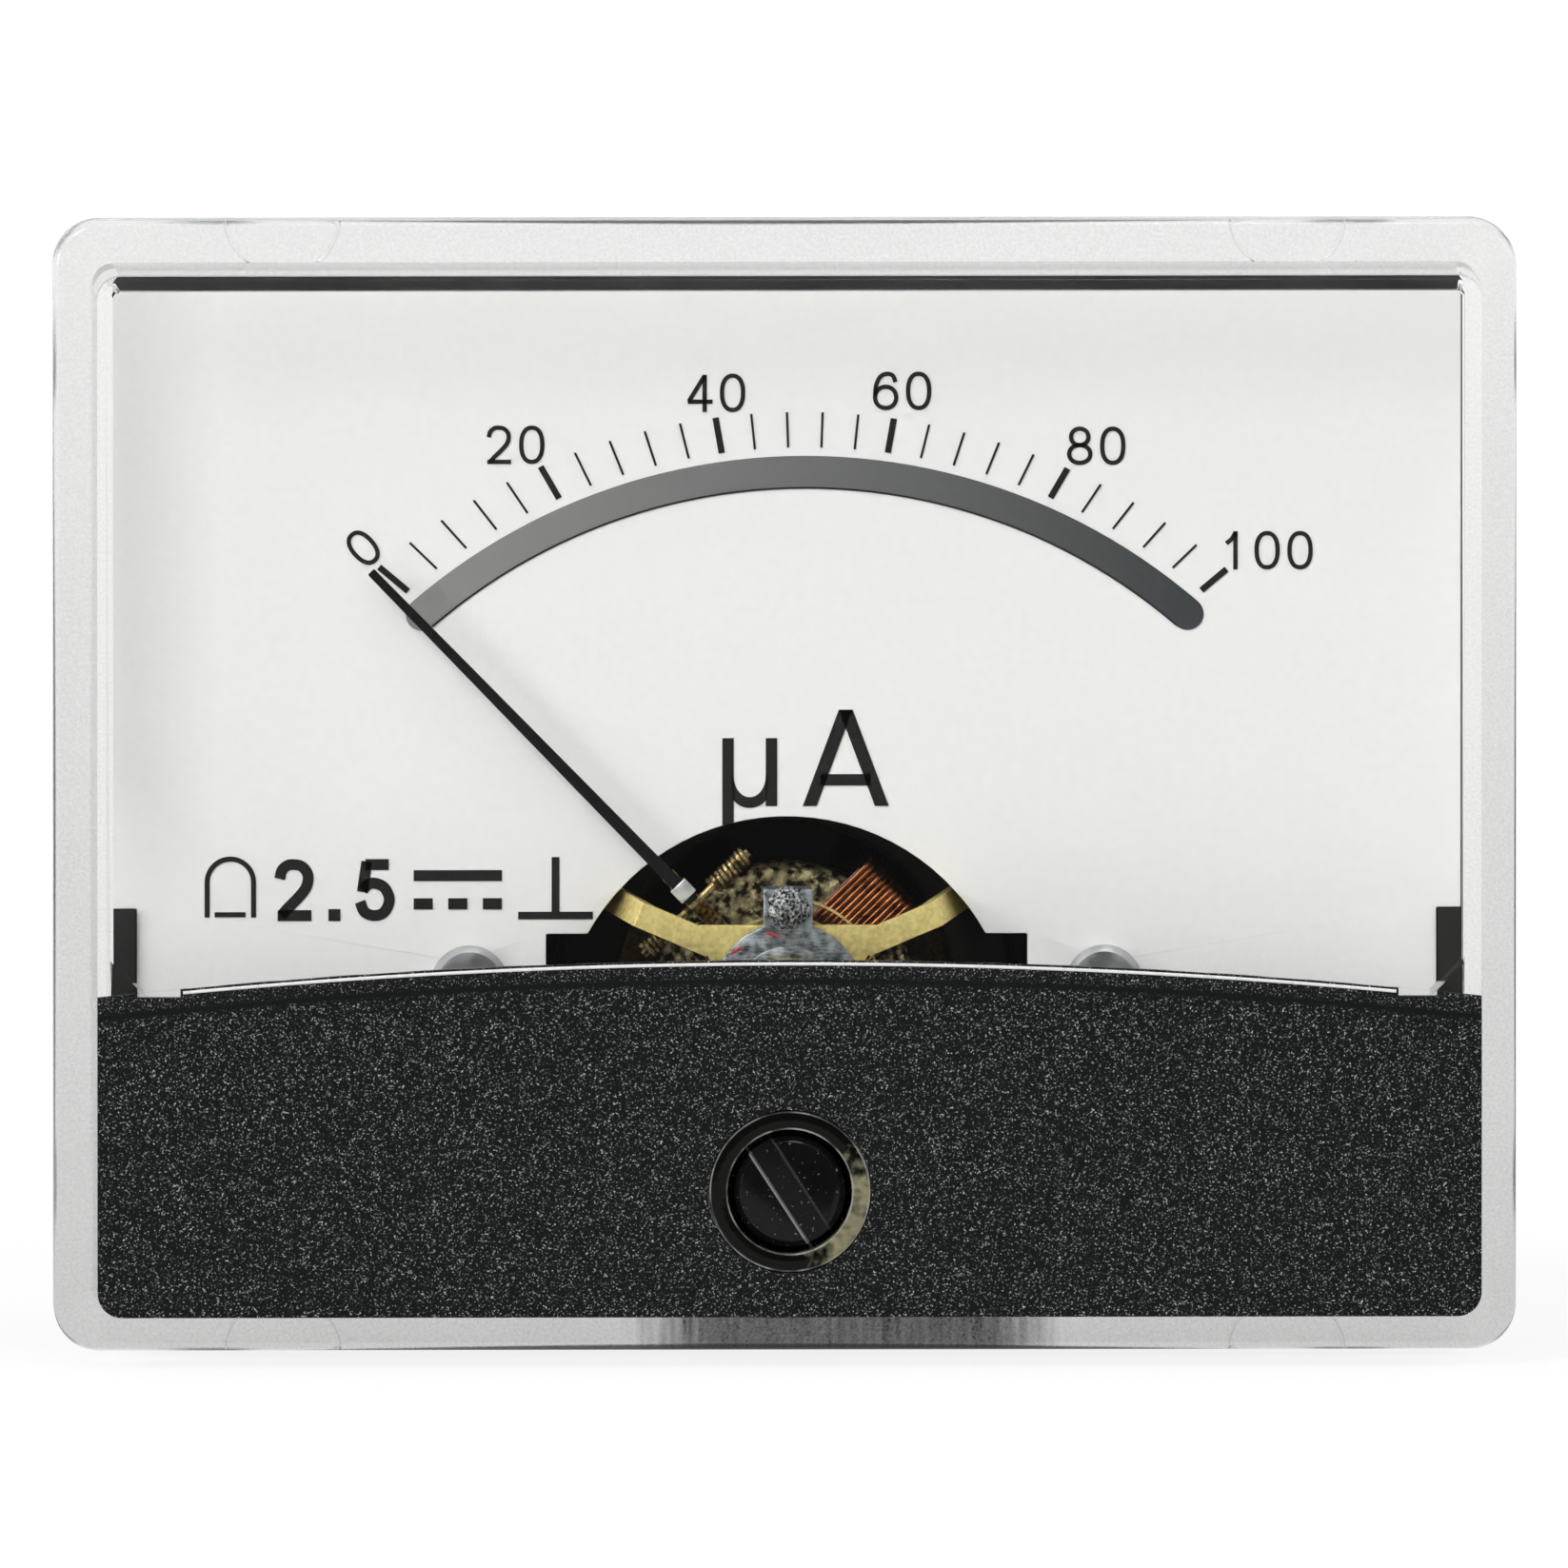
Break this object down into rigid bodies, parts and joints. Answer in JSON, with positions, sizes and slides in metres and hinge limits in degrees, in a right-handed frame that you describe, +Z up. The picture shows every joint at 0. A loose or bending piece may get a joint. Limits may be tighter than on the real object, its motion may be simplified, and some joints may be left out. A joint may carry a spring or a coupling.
{
  "type": "panel meter",
  "caption": "Moving-coil panel meter: clear raised window over a white dial with pointer, black lower mask with zero screw, round barrel with mounting studs and terminals.",
  "frame": {"origin": "barrel axis at the panel's front face", "axes": "+Z up, the dial faces -Y, +Y runs back through the panel along the barrel"},
  "size_m": [0.06, 0.0391, 0.0464],
  "materials": {
    "clear_acrylic": "clear, polished",
    "grained_black": "fine grain with small glints",
    "moulded_black": "moulded, satin",
    "gloss_black": "polished",
    "dial_white": "matt lacquer",
    "zinc_steel": "zinc plated",
    "brass": "rolled, slightly tarnished",
    "soft_iron": "blackened",
    "magnet": "yellow passivated",
    "copper": "enamelled wire",
    "aluminium": "plain",
    "pointer_black": "matt lacquer",
    "tinned": "tinned, dull",
    "ruby": "polished",
    "lead_cover": "smooth"
  },
  "bodies": {
    "case": {"front_cover": "clear_acrylic", "lower_mask": "grained_black", "dial_plate": "dial_white", "dial_screws": "zinc_steel", "base": "moulded_black", "mounting_studs": "zinc_steel", "terminal_studs": "brass", "terminal_washers": "zinc_steel", "solder_lugs": "tinned", "lock_washers": "zinc_steel", "terminal_nuts": "brass", "movement_frame": "moulded_black", "frame_screws": "zinc_steel", "yoke_ring": "soft_iron", "core_magnet": "magnet", "core_spacers": "moulded_black", "front_bridge": "brass", "rear_bridge": "brass", "bridge_screws": "zinc_steel", "rear_bridge_screws": "zinc_steel", "front_jewel_screw": "brass", "rear_jewel_screw": "brass", "bearing_jewels": "ruby", "front_locknut": "brass", "rear_locknut": "brass", "lever_washers": "zinc_steel", "lead_wires": "lead_cover"},
    "rotor": {"coil_former": "aluminium", "coil_winding": "copper", "pivot_staffs": "zinc_steel", "pointer_arm": "brass", "pointer": "pointer_black", "pointer_clip": "tinned", "balance_weights": "brass", "spring_collets": "brass", "front_hairspring": "brass", "rear_hairspring": "brass"},
    "zero_screw": {"zero_screw": "gloss_black"},
    "zero_lever": {"zero_lever": "tinned", "lever_solder": "tinned"}
  },
  "joints": [
    {"name": "pointer_swing", "type": "hinge", "parent": "case", "child": "rotor", "pos_m": [0, 0, -0.00527], "axis": [0, 1, 0], "range_deg": [-2.5, 94], "stiffness_Nm_per_rad": 0.00002, "deforming": ["front_hairspring", "rear_hairspring"]},
    {"name": "zero_screw_turn", "type": "hinge", "parent": "case", "child": "zero_screw", "pos_m": [0, 0, -0.01296], "axis": [0, 1, 0], "range_deg": [-60, 60]},
    {"name": "zero_lever_turn", "type": "hinge", "parent": "case", "child": "zero_lever", "pos_m": [0, 0, -0.00527], "axis": [0, 1, 0], "range_deg": [-6.8, 6.8]}
  ],
  "couplings": [
    {"joint": "zero_lever_turn", "follows": "zero_screw_turn", "ratio": -0.111}
  ]
}
